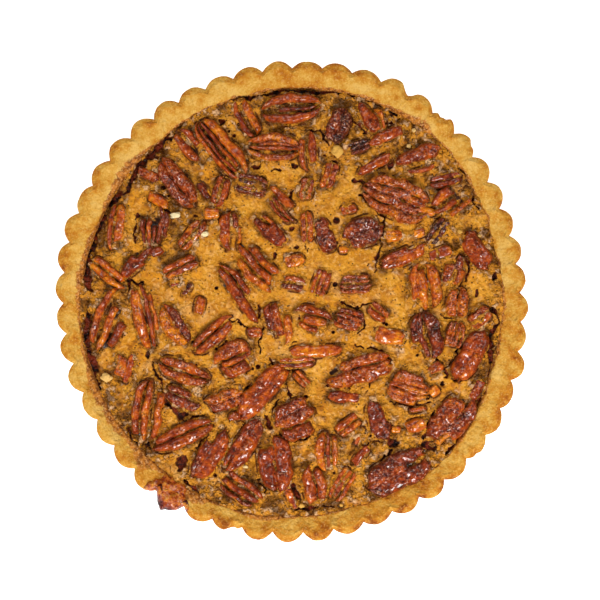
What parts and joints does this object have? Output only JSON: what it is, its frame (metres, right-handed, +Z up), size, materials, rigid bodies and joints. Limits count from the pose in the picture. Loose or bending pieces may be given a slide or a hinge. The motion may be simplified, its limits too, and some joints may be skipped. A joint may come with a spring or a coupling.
{
  "type": "pecan flan",
  "caption": "Round open nut flan: a fluted golden pastry case filled to its rim with baked custard, covered with glossy pecan halves and pieces.",
  "frame": {"origin": "middle of the flat underside of the pastry case", "axes": "+Z up out of the filled top; +X to the right and +Y away from the reader as the top is seen in the picture"},
  "size_m": [0.267, 0.2717, 0.0313],
  "materials": {
    "pastry": "dry sandy baked shortcrust, browner along the flutes",
    "custard": "baked foamy custard skin, satin, with glossy syrup in its cracks",
    "pecan": "roasted nut, glossy with syrup, partly under a thin pale film",
    "syrup": "boiled sugar, glassy dark amber"
  },
  "bodies": {
    "root": {"boiled_syrup": "syrup", "crust": "pastry", "filling": "custard", "pecan_001": "pecan", "pecan_002": "pecan", "pecan_003": "pecan", "pecan_004": "pecan", "pecan_008": "pecan", "pecan_009": "pecan", "pecan_012": "pecan", "pecan_013": "pecan", "pecan_015": "pecan", "pecan_016": "pecan", "pecan_019": "pecan", "pecan_021": "pecan", "pecan_023": "pecan", "pecan_024": "pecan", "pecan_025": "pecan", "pecan_027": "pecan", "pecan_032": "pecan", "pecan_033": "pecan", "pecan_034": "pecan", "pecan_035": "pecan", "pecan_037": "pecan", "pecan_042": "pecan", "pecan_048": "pecan", "pecan_052": "pecan", "pecan_053": "pecan", "pecan_054": "pecan", "pecan_055": "pecan", "pecan_056": "pecan", "pecan_057": "pecan", "pecan_059": "pecan", "pecan_060": "pecan", "pecan_061": "pecan", "pecan_062": "pecan", "pecan_063": "pecan", "pecan_067": "pecan", "pecan_068": "pecan", "pecan_069": "pecan", "pecan_070": "pecan", "pecan_071": "pecan", "pecan_072": "pecan", "pecan_073": "pecan", "pecan_077": "pecan", "pecan_079": "pecan", "pecan_082": "pecan", "pecan_085": "pecan", "pecan_086": "pecan", "pecan_089": "pecan", "pecan_090": "pecan", "pecan_091": "pecan", "pecan_092": "pecan", "pecan_093": "pecan", "pecan_096": "pecan", "pecan_097": "pecan", "pecan_100": "pecan", "pecan_101": "pecan", "pecan_104": "pecan", "pecan_107": "pecan"}
  },
  "joints": []
}
